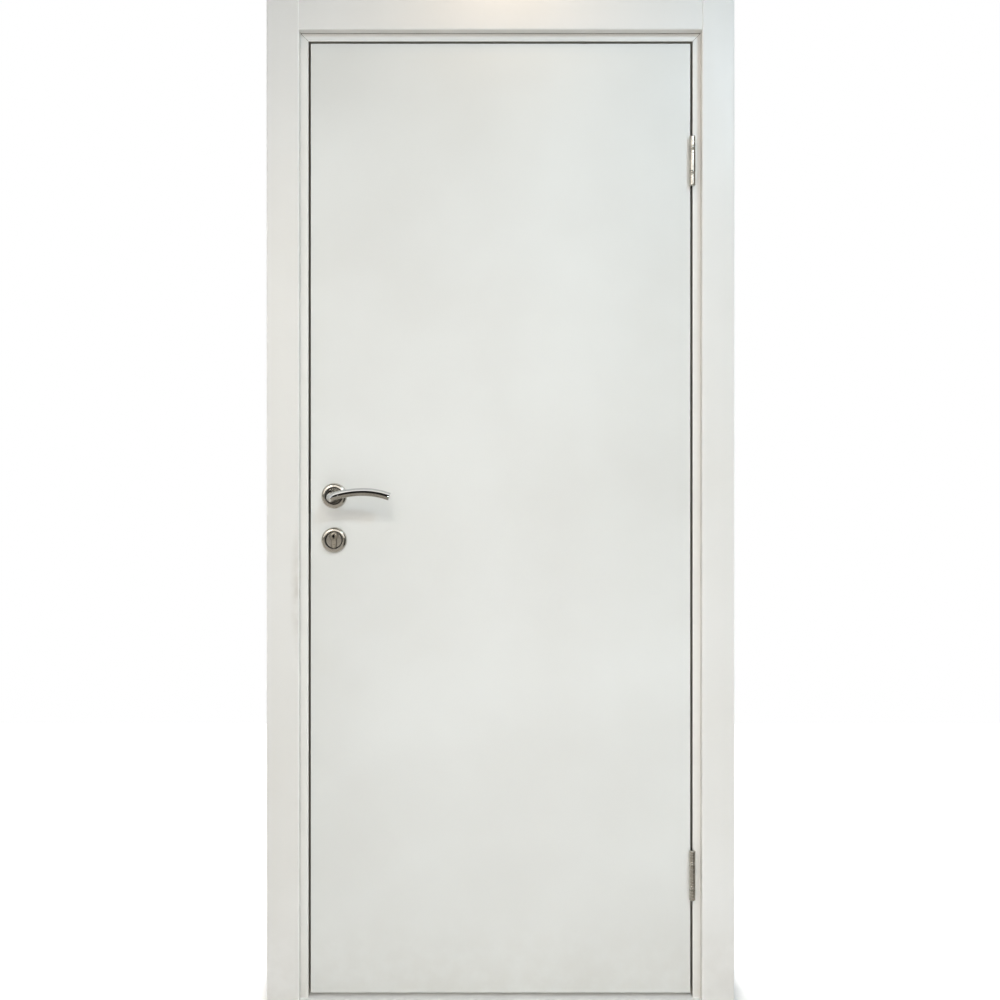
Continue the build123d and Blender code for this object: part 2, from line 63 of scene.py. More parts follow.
def linear(hex_colour):
    """Turns an sRGB hex colour into the linear red, green, blue and alpha that shaders take."""
    srgb = np.array([int(hex_colour[i : i + 2], 16) for i in (1, 3, 5)]) / 255
    rgb = np.where(srgb <= 0.04045, srgb / 12.92, ((srgb + 0.055) / 1.055) ** 2.4)
    return (*rgb.tolist(), 1.0)


def add(tree, kind, settings=None, **links):
    """Adds a node, sets its properties and sockets, and links its inputs from other nodes' outputs.
    A link is named for its socket, or for the socket's number after an underscore."""
    node = tree.nodes.new("ShaderNode" + kind)
    for key, value in (settings or {}).items():
        if isinstance(key, str) and hasattr(node, key):
            setattr(node, key, value)
        else:
            node.inputs[key].default_value = value
    for key, source in links.items():
        place = int(key[1:]) if key[0] == "_" else key.replace("_", " ")
        tree.links.new(source, node.inputs[place])
    return node


def new_material(name):
    """A material with an empty tree, and its principled shader."""
    material = bpy.data.materials.new(name)
    material.use_nodes = True
    tree = material.node_tree
    tree.nodes.clear()
    shader = add(tree, "BsdfPrincipled")
    add(tree, "OutputMaterial", Surface=shader.outputs["BSDF"])
    return material, tree, shader


def satin_paint(name, colour, shade, scuff, stroke_mm, rough, shift_mm, darker_patch_mm=None, primer_shade_axis=None):
    """Satin paint: a tone that drifts over the board, strokes drawn out along it, a roller stipple, and
    a sheen that follows the strokes. The arrises, which lean to two sides at once, are painted whiter
    as a painted highlight. Scuffs gather low down, with darker mottling round darker_patch_mm, a point
    and a reach. Faces square to the primer_shade_axis take a grey: primer on the wall side, painted shade in
    a gap."""
    drift_mm = 420
    # A roller leaves a stipple of about 1.5 mm; it is drawn at 4 mm to show in the render.
    stipple_mm = 4
    scuff_mm = 35
    kicked_mm = 200
    primer_and_gap_shade_grey = "#A39C91"
    arris_highlight_white = "#FCFBF7"
    material, tree, shader = new_material(name)
    coordinates = add(tree, "TexCoord")
    object_place = coordinates.outputs["Object"]
    place = add(
        tree, "Mapping", {"Location": tuple(size * MM for size in shift_mm)}, Vector=object_place
    ).outputs["Vector"]
    drift = add(tree, "TexNoise", {"Scale": 1 / (drift_mm * MM), "Detail": 3.0}, Vector=place)
    drawn = add(tree, "Mapping", {"Scale": tuple(1 / (size * MM) for size in stroke_mm)}, Vector=place)
    stroke = add(tree, "TexNoise", {"Scale": 1.0, "Detail": 4.0}, Vector=drawn.outputs["Vector"])
    stipple = add(tree, "TexNoise", {"Scale": 1 / (stipple_mm * MM), "Detail": 2.0}, Vector=place)
    amount = add(tree, "MapRange", {"From Min": 0.35, "From Max": 0.7}, Value=drift.outputs["Fac"])
    tone = add(
        tree,
        "Mix",
        {"data_type": "RGBA", 6: linear(colour), 7: linear(shade)},
        Factor=amount.outputs["Result"],
    )
    height = add(tree, "SeparateXYZ", Vector=object_place).outputs["Z"]
    low = add(tree, "MapRange", {"From Min": kicked_mm * MM, "From Max": 0.0, "To Max": 0.16}, Value=height)
    reach = low.outputs["Result"]
    # A darker mottled patch round a point, added to the scuffs low down.
    if darker_patch_mm:
        point, size = darker_patch_mm
        offset = add(
            tree,
            "VectorMath",
            {"operation": "SUBTRACT", 1: tuple(value * MM for value in point)},
            _0=object_place,
        )
        spread = add(
            tree,
            "VectorMath",
            {"operation": "MULTIPLY", 1: tuple(1 / (value * MM) for value in size)},
            _0=offset.outputs[0],
        )
        distance = add(tree, "VectorMath", {"operation": "LENGTH"}, _0=spread.outputs[0])
        patch_weight = add(
            tree,
            "MapRange",
            {"From Min": 1.0, "From Max": 0.0, "To Max": 0.45},
            Value=distance.outputs["Value"],
        )
        reach = add(
            tree, "Math", {"operation": "MAXIMUM"}, _0=reach, _1=patch_weight.outputs["Result"]
        ).outputs[0]
    speck = add(tree, "TexNoise", {"Scale": 1 / (scuff_mm * MM), "Detail": 6.0}, Vector=place)
    worn = add(tree, "MapRange", {"From Min": 0.3, "From Max": 0.6}, Value=speck.outputs["Fac"])
    worn = add(tree, "Math", {"operation": "MULTIPLY"}, _0=worn.outputs["Result"], _1=reach)
    tone = add(
        tree,
        "Mix",
        {"data_type": "RGBA", 7: linear(scuff)},
        Factor=worn.outputs[0],
        _6=tone.outputs[2],
    )
    lean = add(tree, "VectorMath", {"operation": "ABSOLUTE"}, _0=coordinates.outputs["Normal"])
    lean = add(tree, "SeparateXYZ", Vector=lean.outputs[0])
    steepest = add(tree, "Math", {"operation": "MAXIMUM"}, _0=lean.outputs["X"], _1=lean.outputs["Y"])
    steepest = add(tree, "Math", {"operation": "MAXIMUM"}, _0=steepest.outputs[0], _1=lean.outputs["Z"])
    # Faces square to this axis turn grey: primer on the wall side, painted shade in the gap round the leaf.
    if primer_shade_axis:
        square = add(tree, "MapRange", {"From Min": 0.9, "From Max": 0.97}, Value=lean.outputs[primer_shade_axis])
        tone = add(
            tree,
            "Mix",
            {"data_type": "RGBA", 7: linear(primer_and_gap_shade_grey)},
            Factor=square.outputs["Result"],
            _6=tone.outputs[2],
        )
    # The arrises are painted whiter than the faces: a painted highlight.
    arris_highlight = add(
        tree, "MapRange", {"From Min": 0.98, "From Max": 0.8, "To Max": 0.85}, Value=steepest.outputs[0]
    )
    tone = add(
        tree,
        "Mix",
        {"data_type": "RGBA", 7: linear(arris_highlight_white)},
        Factor=arris_highlight.outputs["Result"],
        _6=tone.outputs[2],
    )
    tree.links.new(tone.outputs[2], shader.inputs["Base Color"])
    sheen = add(
        tree,
        "MapRange",
        {"From Min": 0.3, "From Max": 0.7, "To Min": rough - 0.05, "To Max": rough + 0.08},
        Value=stroke.outputs["Fac"],
    )
    tree.links.new(sheen.outputs["Result"], shader.inputs["Roughness"])
    relief = add(
        tree,
        "Mix",
        {"data_type": "FLOAT", "Factor": 0.55},
        _2=stroke.outputs["Fac"],
        _3=stipple.outputs["Fac"],
    )
    bump = add(tree, "Bump", {"Strength": 0.3, "Distance": 0.25 * MM}, Height=relief.outputs[0])
    tree.links.new(bump.outputs["Normal"], shader.inputs["Normal"])
    shader.inputs["IOR"].default_value = 1.48
    return material


def dress(names, material):
    """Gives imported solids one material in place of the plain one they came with."""
    for name in names:
        nodes[name].data.materials.clear()
        nodes[name].data.materials.append(material)


# Rolled satin paint: a broad soft sheen, drawn out along each board, on a warm white that is not quite even.
frame_white = ("#E5E3DE", "#DEDBD5", "#B9B1A4")
frame_rough = 0.4
along_upright = (14, 14, 220)
along_head = (220, 14, 14)
upright_paint = satin_paint(
    "satin paint rolled on pine uprights", *frame_white, along_upright, frame_rough, (130, 0, 0), primer_shade_axis="X"
)
head_paint = satin_paint(
    "satin paint rolled on pine head", *frame_white, along_head, frame_rough, (0, 210, 0), primer_shade_axis="Z"
)
side_stop_paint = satin_paint(
    "satin paint rolled on pine stops", *frame_white, along_upright, frame_rough, (70, 0, 0)
)
head_stop_paint = satin_paint(
    "satin paint rolled on pine head stop", *frame_white, along_head, frame_rough, (0, 90, 0)
)
dress(["hinge_jamb", "strike_jamb"], upright_paint)
dress(["head_jamb"], head_paint)
dress(["hinge_side_stop", "strike_side_stop"], side_stop_paint)
dress(["head_stop"], head_stop_paint)

# Seals: extruded rubber beads pressed on the face of the stops, where the closed leaf meets them.
# Matt and dark brown, so the gap round the leaf reads nearly black.
bloom_mm = 6
seal_rubber, tree, shader = new_material("extruded rubber bead")
place = add(tree, "TexCoord").outputs["Object"]
bloom = add(tree, "TexNoise", {"Scale": 1 / (bloom_mm * MM), "Detail": 3.0}, Vector=place)
tone = add(
    tree,
    "Mix",
    {"data_type": "RGBA", 6: linear("#211912"), 7: linear("#31281F")},
    Factor=bloom.outputs["Fac"],
)
tree.links.new(tone.outputs[2], shader.inputs["Base Color"])
chalk = add(tree, "MapRange", {"To Min": 0.6, "To Max": 0.8}, Value=bloom.outputs["Fac"])
tree.links.new(chalk.outputs["Result"], shader.inputs["Roughness"])
dress(["hinge_side_seal", "strike_side_seal", "head_seal"], seal_rubber)

# Casings: flat fibreboard with eased arrises, sprayed satin white and pinned over the joint with the wall.
# The head is butted between the two full-height sides, on the front and on the back.
# Sprayed satin paint: smoother and a little brighter than the frame's. The inner edge of the left casing is
# darker in mottled patches, below the height of the lever.
casing_white = ("#E6E4E0", "#DFDCD6", "#B5AC9F")
casing_rough = 0.38
along_side = (18, 18, 260)
along_casing_head = (260, 18, 18)
casing_patch_mm = ((-860, -58, 860), (16, 40, 150))
side_casing_paint = satin_paint(
    "satin paint sprayed on fibreboard sides", *casing_white, along_side, casing_rough, (0, 0, 370)
)
patched_casing_paint = satin_paint(
    "satin paint sprayed on fibreboard, darker patch",
    *casing_white,
    along_side,
    casing_rough,
    (0, 0, 540),
    casing_patch_mm,
)
head_casing_paint = satin_paint(
    "satin paint sprayed on fibreboard heads", *casing_white, along_casing_head, casing_rough, (440, 0, 0)
)
dress(["front_casing_left"], patched_casing_paint)
dress(["front_casing_right", "back_casing_left", "back_casing_right"], side_casing_paint)
dress(["front_casing_head", "back_casing_head"], head_casing_paint)

# Joint lines: where boards meet, a fine brown strip lies in the joint as painted shade.
# One runs under the head casing, and one down each mitre of the frame.


def cast(name, grids, materials, body, finish=None, crease=32):
    """One mesh from grids of points, each rows by columns, with a quad between neighbours. Doubles are
    merged, which closes seams and poles, and faces are turned outwards. UV runs along the columns and then
    the rows, in metres. finish gives each column of quads its material, or each row of them if it is a
    column itself. Edges that bend by more than crease, in degrees, stay sharp."""
    points = np.concatenate([grid.reshape(-1, 3) for grid in grids])
    quads, marks, lengths = [], [], []
    start = 0
    for grid in grids:
        rows, columns = grid.shape[:2]
        index = start + np.arange(rows * columns).reshape(rows, columns)
        corners = (index[:-1, :-1], index[:-1, 1:], index[1:, 1:], index[1:, :-1])
        quads.append(np.stack(corners, -1).reshape(-1, 4))
        marks.append(np.broadcast_to(0 if finish is None else finish, (rows - 1, columns - 1)).ravel())
        across = np.linalg.norm(np.diff(grid, axis=1), axis=-1).mean(0).cumsum()
        along = np.linalg.norm(np.diff(grid, axis=0), axis=-1).mean(1).cumsum()
        uv = np.stack(np.meshgrid(np.append(0, across), np.append(0, along)), -1)
        lengths.append(uv.reshape(-1, 2))
        start += rows * columns
    quads = np.concatenate(quads)
    mesh = bpy.data.meshes.new(name)
    mesh.from_pydata(points.tolist(), [], quads.tolist())
    for material in materials:
        mesh.materials.append(material)
    mesh.polygons.foreach_set("material_index", np.concatenate(marks).astype(int))
    uv_map = mesh.uv_layers.new(name="UVMap")
    uv_map.data.foreach_set("uv", np.concatenate(lengths)[quads].astype(np.float32).ravel())
    shape = bmesh.new()
    shape.from_mesh(mesh)
    bmesh.ops.remove_doubles(shape, verts=shape.verts, dist=1e-6)
    bmesh.ops.dissolve_degenerate(shape, edges=shape.edges, dist=1e-7)
    bmesh.ops.recalc_face_normals(shape, faces=shape.faces)
    shape.to_mesh(mesh)
    shape.free()
    mesh.polygons.foreach_set("use_smooth", np.ones(len(mesh.polygons), dtype=bool))
    mesh.set_sharp_from_angle(angle=np.radians(crease))
    piece = bpy.data.objects.new(name, mesh)
    bpy.context.scene.collection.objects.link(piece)
    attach(piece, body)
    return piece


def turned(profile, centre, along, segments=96):
    """A profile of radius and height pairs in mm, swung right round an axis through a centre: one row for
    each pair, one column for each angle, the last on the first."""
    along = np.array(along, dtype=float)
    side = np.array([1.0, 0.0, 0.0]) if abs(along[1]) > 0.9 else np.array([0.0, 1.0, 0.0])
    up = np.cross(along, side)
    angle = np.linspace(0, 2 * np.pi, segments + 1)[:, None]
    spoke = np.cos(angle) * side + np.sin(angle) * up
    profile = np.array(profile) * MM
    return np.array(centre) + profile[:, None, :1] * spoke + profile[:, None, 1:] * along


# Painted shade: a matt strip, as dark as the shadow that lies in the joint.
joint_mottle_mm = 5
joint_shade, tree, shader = new_material("brown painted joint shade")
place = add(tree, "TexCoord").outputs["Object"]
grain = add(tree, "TexNoise", {"Scale": 1 / (joint_mottle_mm * MM), "Detail": 3.0}, Vector=place)
tone = add(
    tree,
    "Mix",
    {"data_type": "RGBA", 6: linear("#4A3D31"), 7: linear("#6A5A4A")},
    Factor=grain.outputs["Fac"],
)
tree.links.new(tone.outputs[2], shader.inputs["Base Color"])
shader.inputs["Roughness"].default_value = 0.8
head_low, head_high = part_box("front_casing_head")
jamb_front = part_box("head_jamb")[0].y
rebate_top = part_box("head_jamb")[0].z
under_head_mm = 0.75
mitre_line_mm = 0.4
mitre_sunk_mm = 0.35
lines = [((head_low.x, jamb_front, head_low.z), (1, 0, 0), head_high.x - head_low.x, under_head_mm)]
mitre = np.sqrt(0.5)
for corner_x, side in ((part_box("strike_jamb")[1].x, 1), (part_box("hinge_jamb")[0].x, -1)):
    run = abs(corner_x - (head_low.x if side > 0 else head_high.x))
    top = (corner_x - side * run, jamb_front + mitre_sunk_mm * MM, rebate_top + run)
    lines.append((top, (side * mitre, 0, -mitre), run / mitre, mitre_line_mm))
grids = [
    turned([(0, 0), (radius, 0), (radius, length / MM), (0, length / MM)], start, along, segments=12)
    for start, along, length, radius in lines
]
cast("painted_shade_joint_lines", grids, [joint_shade], "frame")

# Hinges: rolled steel butt hinges, plated satin nickel, with a fixed pin and a pair of bearing rings at each
# joint of the barrel. The plates are let in flush and held by countersunk cross-head screws, and the barrels
# stand proud of the leaf.


def satin_metal(name, bright, dull, rough, streak_mm, stain_mm=18, spun=False):
    """Plated metal, rubbed one way: fine streaks along the piece's own UV map that shift its roughness, over
    a slow change of tone. streak_mm is a streak's size along the columns and along the rows. Spun metal
    spreads its lights across the turning marks, into bright wedges."""
    material, tree, shader = new_material(name)
    place = add(tree, "TexCoord")
    drawn = add(
        tree,
        "Mapping",
        {"Scale": (1 / (streak_mm[0] * MM), 1 / (streak_mm[1] * MM), 1)},
        Vector=place.outputs["UV"],
    )
    streak = add(tree, "TexNoise", {"Scale": 1.0, "Detail": 4.0}, Vector=drawn.outputs["Vector"])
    stain = add(
        tree, "TexNoise", {"Scale": 1 / (stain_mm * MM), "Detail": 3.0}, Vector=place.outputs["Object"]
    )
    tone = add(
        tree,
        "Mix",
        {"data_type": "RGBA", 6: linear(dull), 7: linear(bright)},
        Factor=stain.outputs["Fac"],
    )
    tree.links.new(tone.outputs[2], shader.inputs["Base Color"])
    haze = add(
        tree,
        "MapRange",
        {"From Min": 0.3, "From Max": 0.7, "To Min": rough * 0.75, "To Max": rough * 1.35},
        Value=streak.outputs["Fac"],
    )
    tree.links.new(haze.outputs["Result"], shader.inputs["Roughness"])
    bump = add(
        tree, "Bump", {"Strength": 0.12, "Distance": 0.04 * MM}, Height=streak.outputs["Fac"]
    )
    tree.links.new(bump.outputs["Normal"], shader.inputs["Normal"])
    shader.inputs["Metallic"].default_value = 1.0
    if spun:
        tangent = add(tree, "Tangent", {"direction_type": "UV_MAP", "uv_map": "UVMap"})
        tree.links.new(tangent.outputs["Tangent"], shader.inputs["Tangent"])
        shader.inputs["Anisotropic"].default_value = 0.7
        shader.inputs["Anisotropic Rotation"].default_value = 0.25
    return material


def eased(corners, ease):
    """A run of straight sides with each inner corner swapped for a short curve, the quadratic that leaves
    one side and joins the next at the ease's distance from the corner, or half way along a shorter side."""
    corners = np.array(corners, dtype=float)
    before, corner, after = corners[:-2], corners[1:-1], corners[2:]
    sides = np.linalg.norm(np.diff(corners, axis=0), axis=1)
    near = np.minimum(ease / np.maximum(sides[:-1], 1e-9), 0.5)[:, None]
    far = np.minimum(ease / np.maximum(sides[1:], 1e-9), 0.5)[:, None]
    leave = corner + (before - corner) * near
    join = corner + (after - corner) * far
    step = np.linspace(0, 1, 5)[None, :, None]
    ends = (1 - step) ** 2 * leave[:, None] + step**2 * join[:, None]
    curve = ends + 2 * step * (1 - step) * corner[:, None]
    return np.concatenate([corners[:1], curve.reshape(-1, 2), corners[-1:]])


def screw_heads(seats, facing, head_mm):
    """Countersunk heads, one grid for each seat: a disc with a cross pressed into it, then the cone down to
    the shank. The cross is as deep as a point is far inside both of its arms, up to its floor."""
    half_arm, arm_end, wall, floor = (share * head_mm for share in (0.16, 0.62, 0.1, 0.3))
    disc_rows = 12
    facing = np.array(facing, dtype=float)
    up = np.array([0.0, 0.0, 1.0])
    side = np.cross(up, facing)
    reach = np.concatenate([np.linspace(0, 0.94, disc_rows), [1.0, 0.98, 0.55]])[:, None] * head_mm
    angle = np.linspace(0, 2 * np.pi, 41)[None, :]
    across, height = reach * np.cos(angle), reach * np.sin(angle)
    inside_arm = half_arm - np.minimum(abs(across), abs(height))
    inside_end = arm_end - reach
    recess = np.clip(np.minimum(inside_arm, inside_end) / wall, 0, 1) * floor
    sink = np.concatenate([np.full(disc_rows, 0.1), [0.16, 0.3, 1.9]])[:, None] + recess
    shape = across[..., None] * side + height[..., None] * up - sink[..., None] * facing
    return [np.array(seat) + shape * MM for seat in seats]


# Satin nickel: a warm grey metal whose barrels show one soft bright line. The screws are a little duller.
hinge_nickel = satin_metal("satin nickel plated on rolled steel", "#CFCBC3", "#B5B0A7", 0.22, (30, 0.8))
screw_nickel = satin_metal("nickel plated on turned steel screws", "#B5AFA3", "#9C968A", 0.3, (1, 4))
half_hinge_mm = 50.0
barrel_mm = 6.52
sleeve_mm = 6.3
end_knuckle_mm = 20.0
ring_mm = 4.4
ring_hole_mm = 3.6
play_mm = 0.2
mid_mm = half_hinge_mm - end_knuckle_mm - 2 * ring_mm - play_mm
cap_mm = 6.45
cap_rise_mm = 2.5
pin_mm = 3.4
plate_mm = 30.0
screw_pitch_mm = 24.0
screw_stagger_mm = 5.0
hinge_screw_mm = 4.2
upright = (0, 0, 1)


def rolled_barrel(centre, foot, top):
    """A barrel about the pin from its foot to its top, in mm, with both ends eased."""
    corners = [(sleeve_mm, foot), (barrel_mm, foot), (barrel_mm, top), (sleeve_mm, top)]
    return turned(eased(corners, 0.45), centre, upright)


def bearing_ring(centre, foot):
    """A ring on the pin that stands on its foot, in mm, with edges so eased that its side is nearly round."""
    top = foot + ring_mm
    corners = [(ring_hole_mm, foot), (sleeve_mm, foot), (sleeve_mm, top), (ring_hole_mm, top)]
    return turned(eased([*corners, corners[0]], 2.0), centre, upright)


for place_name in ("upper", "lower"):
    frame_plate = f"{place_name}_hinge_frame_leaf"
    door_plate = f"{place_name}_hinge_door_leaf"
    dress([frame_plate, door_plate], hinge_nickel)
    low, high = (np.array(corner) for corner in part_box(f"{place_name}_hinge_pin"))
    centre = (low + high) / 2

    ends = [
        rolled_barrel(centre, -half_hinge_mm, -half_hinge_mm + end_knuckle_mm),
        rolled_barrel(centre, half_hinge_mm - end_knuckle_mm, half_hinge_mm),
    ]
    cast(f"{place_name}_hinge_end_barrels", ends, [hinge_nickel], "frame")
    middle = rolled_barrel(centre, -mid_mm, mid_mm)
    cast(f"{place_name}_hinge_middle_barrel", [middle], [hinge_nickel], "leaf")

    ring_feet = (-mid_mm - 2 * ring_mm, -mid_mm - ring_mm, mid_mm, mid_mm + ring_mm)
    rings = [bearing_ring(centre, foot) for foot in ring_feet]
    bearing = cast(f"{place_name}_hinge_bearing_rings", rings, [hinge_nickel], "leaf")
    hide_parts(f"{place_name}_hinge_bearings")

    dome = np.linspace(0, np.pi / 2, 10)
    cap = np.stack([cap_mm * np.sin(dome), half_hinge_mm + 0.5 + cap_rise_mm * np.cos(dome)], 1)
    stem = np.array([(cap_mm, half_hinge_mm + 0.1), (pin_mm, half_hinge_mm)])
    upper_half = np.concatenate([cap, stem])
    pin = turned(np.concatenate([upper_half, upper_half[::-1] * (1, -1)]), centre, upright)
    pin = cast(f"{place_name}_hinge_domed_pin", [pin], [hinge_nickel], "frame")
    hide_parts(f"{place_name}_hinge_pin")

    steps = np.array([-1.5, -0.5, 0.5, 1.5])
    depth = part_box(frame_plate)[1].y - (plate_mm / 2 - screw_stagger_mm * np.array([1, -1, 1, -1])) * MM
    heights = centre[2] + steps * screw_pitch_mm * MM
    for plate, inner, facing, body in (
        (frame_plate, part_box("hinge_jamb")[0].x, -1, "frame"),
        (door_plate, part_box("leaf_hinge_stile")[1].x, 1, "leaf"),
    ):
        seats = np.stack([np.full(4, inner), depth, heights], 1)
        heads = screw_heads(seats, (facing, 0, 0), hinge_screw_mm)
        cast(f"{plate}_screws", heads, [screw_nickel], body)

# Leaf: two hardboard skins glued on a softwood rim of stiles and rails, painted all over at the works.
# The roller leaves a fine stipple on the faces, and the arrises are painted whiter as a painted highlight.
# The same satin paint, in a cooler white than the frame's; it dries a little rougher on wood than on board.
leaf_white = ("#E0E0DC", "#D8D7D2", "#BDB5A8")
skin_rough = 0.38
rim_rough = 0.42
skin_paint = satin_paint(
    "satin paint rolled on hardboard skins", *leaf_white, (70, 70, 110), skin_rough, (590, 0, 0)
)
stile_paint = satin_paint(
    "satin paint rolled on softwood stiles", *leaf_white, (12, 12, 160), rim_rough, (0, 660, 0)
)
rail_paint = satin_paint(
    "satin paint rolled on softwood rails", *leaf_white, (160, 12, 12), rim_rough, (0, 0, 710)
)
dress(["leaf_front_skin", "leaf_back_skin"], skin_paint)
dress(["leaf_lock_stile", "leaf_hinge_stile"], stile_paint)
dress(["leaf_top_rail", "leaf_bottom_rail"], rail_paint)

# Lock: a pressed steel case let into the lock stile behind a brushed forend, with the latch bolt and the
# dead bolt. The strike plate in the frame is its match; both are held by a countersunk screw at each end.


def brushed_plate(name, bright, dull, rough, streak_mm):
    """Flat plate brushed along its length: streaks on Object coordinates, streak_mm long along X, Y and Z,
    that carry both the tone and the roughness."""
    material, tree, shader = new_material(name)
    place = add(tree, "TexCoord").outputs["Object"]
    drawn = add(tree, "Mapping", {"Scale": tuple(1 / (size * MM) for size in streak_mm)}, Vector=place)
    streak = add(tree, "TexNoise", {"Scale": 1.0, "Detail": 5.0}, Vector=drawn.outputs["Vector"])
    tone = add(
        tree,
        "Mix",
        {"data_type": "RGBA", 6: linear(dull), 7: linear(bright)},
        Factor=streak.outputs["Fac"],
    )
    tree.links.new(tone.outputs[2], shader.inputs["Base Color"])
    haze = add(
        tree,
        "MapRange",
        {"From Min": 0.3, "From Max": 0.7, "To Min": rough * 0.8, "To Max": rough * 1.3},
        Value=streak.outputs["Fac"],
    )
    tree.links.new(haze.outputs["Result"], shader.inputs["Roughness"])
    shader.inputs["Metallic"].default_value = 1.0
    return material


# Brushed plate greys in long streaks, the bolts shine a little more, and the case's zinc is dull and mottled.
lock_steel = brushed_plate("nickel plated on brushed steel", "#BDB9B0", "#9F9B92", 0.3, (0.6, 0.6, 40))
bolt_nickel = brushed_plate("nickel plated on cast bolts", "#C4C0B6", "#ACA89E", 0.22, (12, 1, 1))
case_zinc = brushed_plate("zinc plated on pressed steel", "#A9ABAB", "#8D9090", 0.4, (9, 9, 9))
dress(["lock_forend", "strike_plate"], lock_steel)
dress(["latch_bolt", "dead_bolt", "lever_spindle"], bolt_nickel)
dress(["lock_case"], case_zinc)
screw_inset_mm = 10.0
lock_screw_mm = 3.6
for plate, facing, body in (("lock_forend", -1, "leaf"), ("strike_plate", 1, "frame")):
    low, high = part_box(plate)
    face = low.x if facing < 0 else high.x
    middle = (low.y + high.y) / 2
    seats = [(face, middle, low.z + screw_inset_mm * MM), (face, middle, high.z - screw_inset_mm * MM)]
    heads = screw_heads(seats, (facing, 0, 0), lock_screw_mm)
    cast(f"{plate}_screws", heads, [screw_nickel], body)

# Key roses and cylinder: spun plated roses with a rolled rim and a groove round a flat middle, which is cut
# out for a drawn brass cylinder. The plug at each end of the cylinder turns in it; its keyway is painted dark
# as shade.
# Spun nickel shows bright wedges across its turning marks; the cylinder is matt, its plugs a little less so.
rose_nickel = satin_metal(
    "satin nickel plated on spun roses", "#DAD6CE", "#C4BFB5", 0.18, (40, 0.5), spun=True
)
cylinder_nickel = satin_metal("matt nickel plated on drawn brass", "#C0BAAE", "#A59E91", 0.3, (20, 0.5))
plug_nickel = satin_metal(
    "matt nickel plated on turned plugs", "#CAC4B8", "#AFA89B", 0.26, (20, 0.4), spun=True
)
lever_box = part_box("front_lever_rose")
lock_x = (lever_box[0].x + lever_box[1].x) / 2
handle_z = (lever_box[0].z + lever_box[1].z) / 2
key_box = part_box("front_key_rose")
key_rose_z = (key_box[0].z + key_box[1].z) / 2
leaf_faces = {"front": (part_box("leaf_front_skin")[0].y, -1), "back": (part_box("leaf_back_skin")[1].y, 1)}
rim_mm = 26.8
rim_foot_mm = 2.7
lip_mm = 19.4
lip_fall_mm = 0.6
rose_height_mm = 8.5
groove_out_mm = 18.6
groove_in_mm = 16.2
groove_floor_mm = 1.6
middle_height_mm = 6.0
middle_mm = 13.0
arris_mm = 0.3

# The ring in radius and height pairs: up the rim, over its quarter ellipse, and down and up the groove.
roll = np.linspace(0, np.pi / 2, 14)
rolled_rim = np.stack(
    [
        lip_mm + (rim_mm - lip_mm) * np.cos(roll),
        rim_foot_mm + (rose_height_mm - rim_foot_mm) * np.sin(roll),
    ],
    1,
)
groove = eased(
    [
        (lip_mm, rose_height_mm),
        (groove_out_mm, rose_height_mm - lip_fall_mm),
        (groove_out_mm, groove_floor_mm),
        (groove_in_mm, groove_floor_mm),
        (groove_in_mm, middle_height_mm),
        (middle_mm, middle_height_mm),
    ],
    0.4,
)
ring_profile = np.concatenate([[(rim_mm, 0.0)], rolled_rim, groove[1:-1]])
row_height = np.minimum(ring_profile[1:, 1], ring_profile[:-1, 1])
in_groove = (ring_profile[1:, 0] < groove_out_mm + 0.1) & (row_height < middle_height_mm - 1)

# Painted shade: nearly black and not quite matt, laid in the groove and the keyway so they read as drawn
# lines.
recess_shade, tree, shader = new_material("painted shade in groove and keyway")
shader.inputs["Base Color"].default_value = linear("#2B2721")
shader.inputs["Roughness"].default_value = 0.5
plug_rise_mm = 8.0
cylinder_head_mm = 8.5
lobe_mm = 5.0
lobe_foot_mm = 11.5
angle = np.linspace(0, 2 * np.pi, 193)


def cylinder_outline(angle, growth):
    """How far the cylinder's outline lies from the middle of its rose at an angle: the farther of where a
    ray leaves the round head, centred above the middle, and where it leaves the narrow lobe, with straight
    sides and a round foot below."""
    across, up = np.cos(angle), np.sin(angle)
    beside = (cylinder_head_mm + growth) ** 2 - (plug_rise_mm * across) ** 2
    out_of_head = plug_rise_mm * up + np.sqrt(beside)
    width = lobe_mm + growth
    out_of_side = width / np.maximum(abs(across), 1e-6)
    under = np.maximum(width**2 - (lobe_foot_mm * across) ** 2, 0)
    out_of_foot = -lobe_foot_mm * up + np.sqrt(under)
    out_of_lobe = np.where(out_of_side * up < -lobe_foot_mm, out_of_foot, out_of_side)
    out_of_lobe = np.where(up > 0, np.minimum(out_of_lobe, out_of_head), out_of_lobe)
    return np.maximum(out_of_head, out_of_lobe)


def ring_at(radius, turn, height, rise, face):
    """A ring of points at the lock, sizes in mm: a radius for each turn, about a line that rises above the
    middle of the key rose, at a height out from the leaf."""
    depth, outward = leaf_faces[face]
    across = radius * np.cos(turn)
    up = rise + radius * np.sin(turn)
    out = np.full(across.shape, depth + outward * height * MM)
    return np.stack([lock_x + across * MM, out, key_rose_z + up * MM], -1)


cut_out = cylinder_outline(angle, 0.7)
rose_steps = [
    *ring_profile,
    (0.5 * (groove_in_mm + cut_out), middle_height_mm),
    (cut_out + arris_mm, middle_height_mm),
    (cut_out, middle_height_mm - arris_mm),
    (cut_out, 0.0),
    (rim_mm, 0.0),
]
# The groove's rows take the painted shade.
finish = np.append(in_groove, np.zeros(len(rose_steps) - len(ring_profile)))[:, None]
for face in leaf_faces:
    rose = np.stack([ring_at(radius, angle, height, 0.0, face) for radius, height in rose_steps])
    rose = cast(
        f"{face}_key_rose_spun", [rose], [rose_nickel, recess_shade], "leaf", finish
    )
    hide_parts(f"{face}_key_rose")

bore_mm = 6.8
bore_floor_mm = 4.0
bore_arris_mm = 0.2
cylinder_face_mm = 7.5
cylinder_arris_mm = 0.35
outline = cylinder_outline(angle, 0.0)
about_plug = np.arctan2(outline * np.sin(angle) - plug_rise_mm, outline * np.cos(angle))


